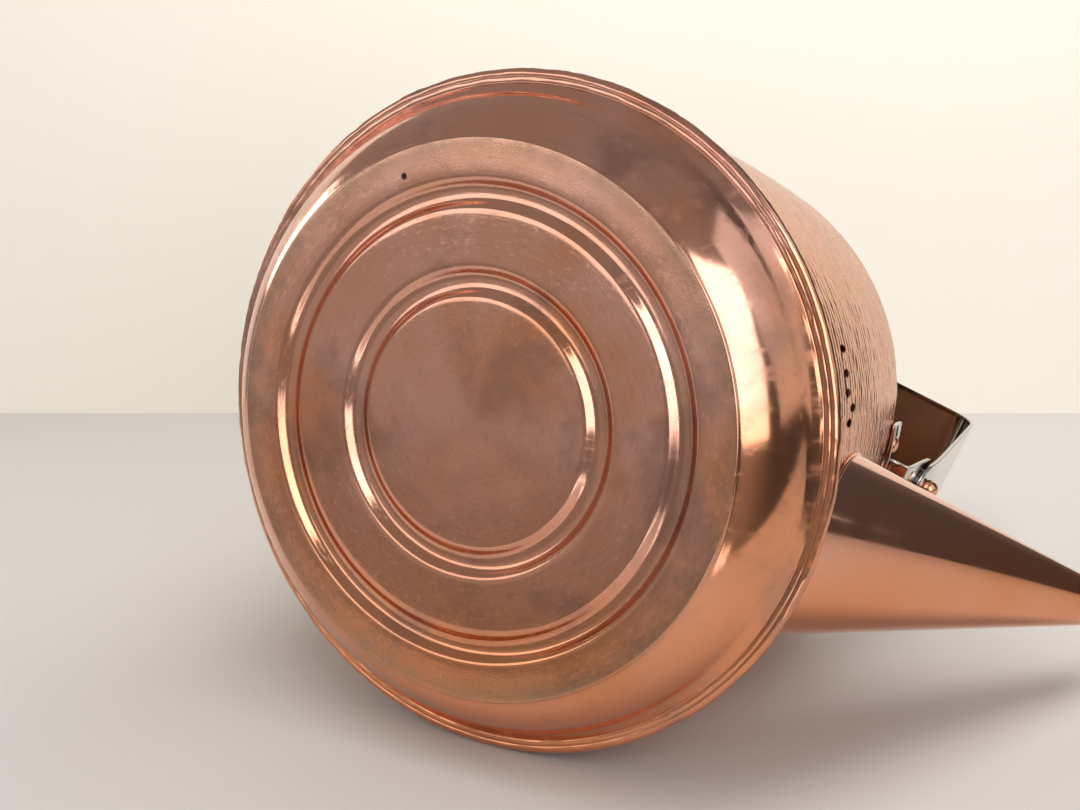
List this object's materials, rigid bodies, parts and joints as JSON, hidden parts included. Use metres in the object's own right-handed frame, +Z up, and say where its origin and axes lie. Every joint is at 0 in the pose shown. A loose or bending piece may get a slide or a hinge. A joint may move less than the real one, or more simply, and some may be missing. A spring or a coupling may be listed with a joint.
{
  "type": "kettle",
  "caption": "Hammered copper kettle with a seamed grooved base, long straight spout, lift-off lid and a folding steel bail with a wooden grip.",
  "frame": {"origin": "centre of the foot ring's resting plane, on the kettle's axis", "axes": "+Z up along the kettle's axis, +X from the axis to the spout, +Y to the left of the spout"},
  "size_m": [0.2821, 0.21, 0.2855],
  "materials": {
    "spun_copper": "polished copper with fine turning scratches",
    "hammered_copper": "polished copper, hammered all over",
    "copper_pins": "polished copper",
    "steel": "polished stainless steel",
    "brass_rivets": "polished brass",
    "grip_wood": "dark oiled hardwood"
  },
  "bodies": {
    "kettle": {"base_pan": "spun_copper", "body_shell": "hammered_copper", "mouth_ring": "steel", "spout": "spun_copper", "spout_lip": "spun_copper", "front_ear": "steel", "rear_ear": "steel", "front_ear_rivets": "copper_pins", "rear_ear_rivets": "copper_pins", "front_washer": "steel", "rear_washer": "steel", "front_pivot_pin": "copper_pins", "rear_pivot_pin": "copper_pins"},
    "lid": {"lid_shell": "spun_copper", "lid_skirt": "steel", "knob_plate": "steel", "lid_knob": "grip_wood", "knob_screw": "steel"},
    "bail": {"bail_strap": "steel", "grip_upper": "grip_wood", "grip_lower": "grip_wood", "grip_rivets": "brass_rivets"}
  },
  "joints": [
    {"name": "lid_lift", "type": "slide", "parent": "kettle", "child": "lid", "axis": [0, 0, 1], "range_m": [0, 0.04]},
    {"name": "bail_fold", "type": "hinge", "parent": "kettle", "child": "bail", "pos_m": [0, 0, 0.192], "axis": [1, 0, 0], "range_deg": [-90, 90]}
  ]
}
